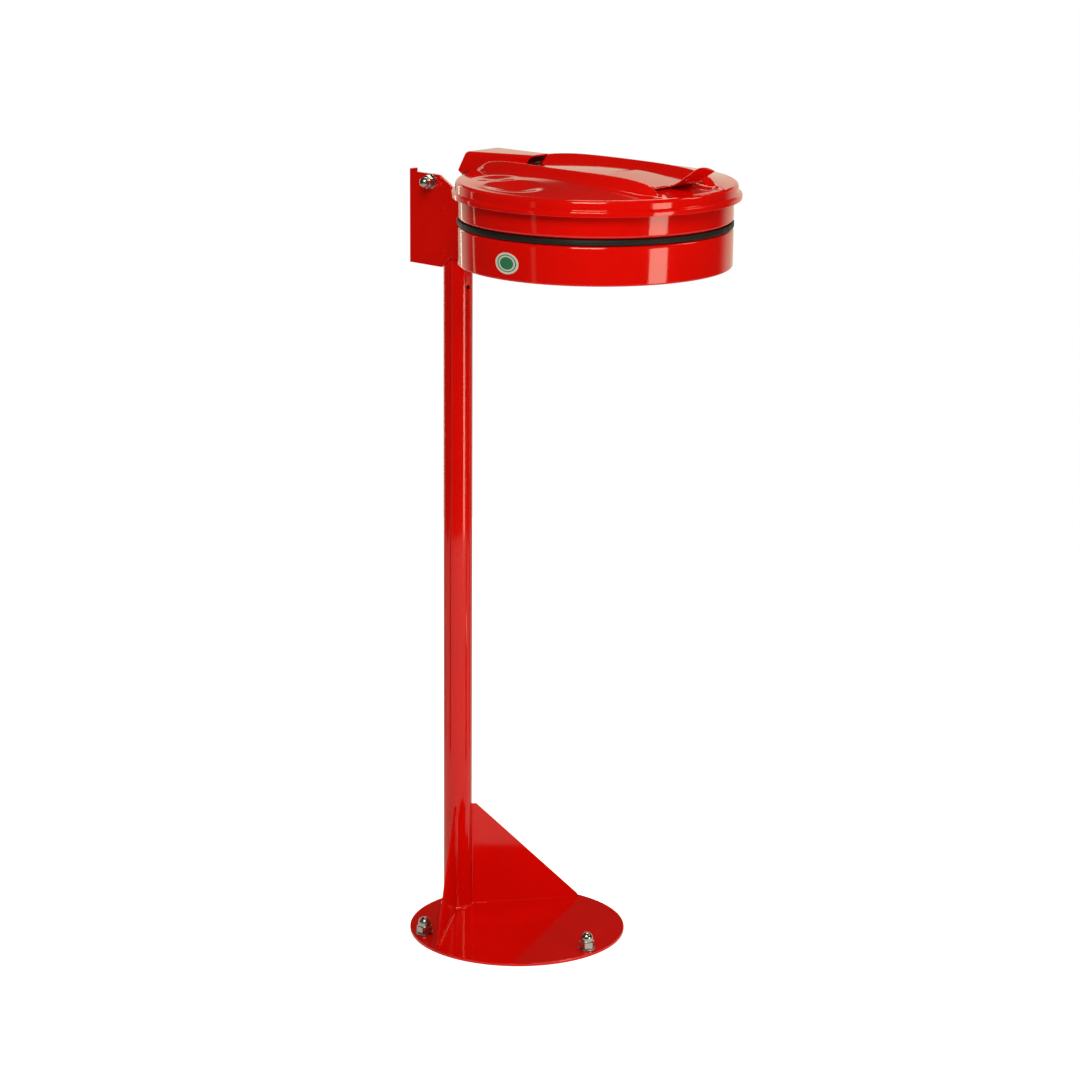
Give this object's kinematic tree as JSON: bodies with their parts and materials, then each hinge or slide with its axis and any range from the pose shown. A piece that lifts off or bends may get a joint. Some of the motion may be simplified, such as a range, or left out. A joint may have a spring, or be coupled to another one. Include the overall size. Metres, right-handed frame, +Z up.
{
  "type": "litter bag holder",
  "caption": "Free-standing litter bag holder: a round foot and pole carry a ring with an elastic strap for the bag, under a hinged, ribbed lid.",
  "frame": {"origin": "centre of the round base plate, on its underside", "axes": "+Z up; -Y is the front, where the lid's handle is; +X is on the right of a person standing in front and facing it"},
  "size_m": [0.3784, 0.5142, 1.1033],
  "materials": {
    "red_powder_coat": "gloss",
    "zinc_steel": "satin",
    "black_rubber": "matt",
    "black_plastic": "matt",
    "nylon": "matt",
    "sticker_film": "gloss"
  },
  "bodies": {
    "stand": {"base_plate": "red_powder_coat", "anchor_washers": "zinc_steel", "anchor_dome_nuts": "zinc_steel", "pole_tube": "red_powder_coat", "pole_foot_weld": "red_powder_coat", "gusset_right": "red_powder_coat", "gusset_left": "red_powder_coat", "pole_end_cap": "black_plastic", "bracket_side_plate": "red_powder_coat", "bracket_far_plate": "red_powder_coat", "bracket_web": "red_powder_coat", "pole_bolts": "red_powder_coat", "pole_bolt_washers": "zinc_steel", "fixing_bolt": "zinc_steel", "fixing_bolt_washers": "zinc_steel", "fixing_bolt_dome_nut": "zinc_steel", "bag_ring": "red_powder_coat", "elastic_strap": "black_rubber", "strap_ferrule": "zinc_steel", "oval_sticker": "sticker_film", "hinge_bushes": "nylon"},
    "lid": {"lid_shell": "red_powder_coat", "lid_buffers": "black_rubber", "lid_handle": "red_powder_coat", "hinge_hood": "red_powder_coat", "hood_rivets": "red_powder_coat", "hood_plug": "black_rubber", "hinge_pin": "zinc_steel", "pin_retainers": "zinc_steel"}
  },
  "joints": [
    {"name": "lid_hinge", "type": "hinge", "parent": "stand", "child": "lid", "pos_m": [0, 0.0705, 1.055], "axis": [-1, 0, 0], "range_deg": [0, 148]}
  ]
}
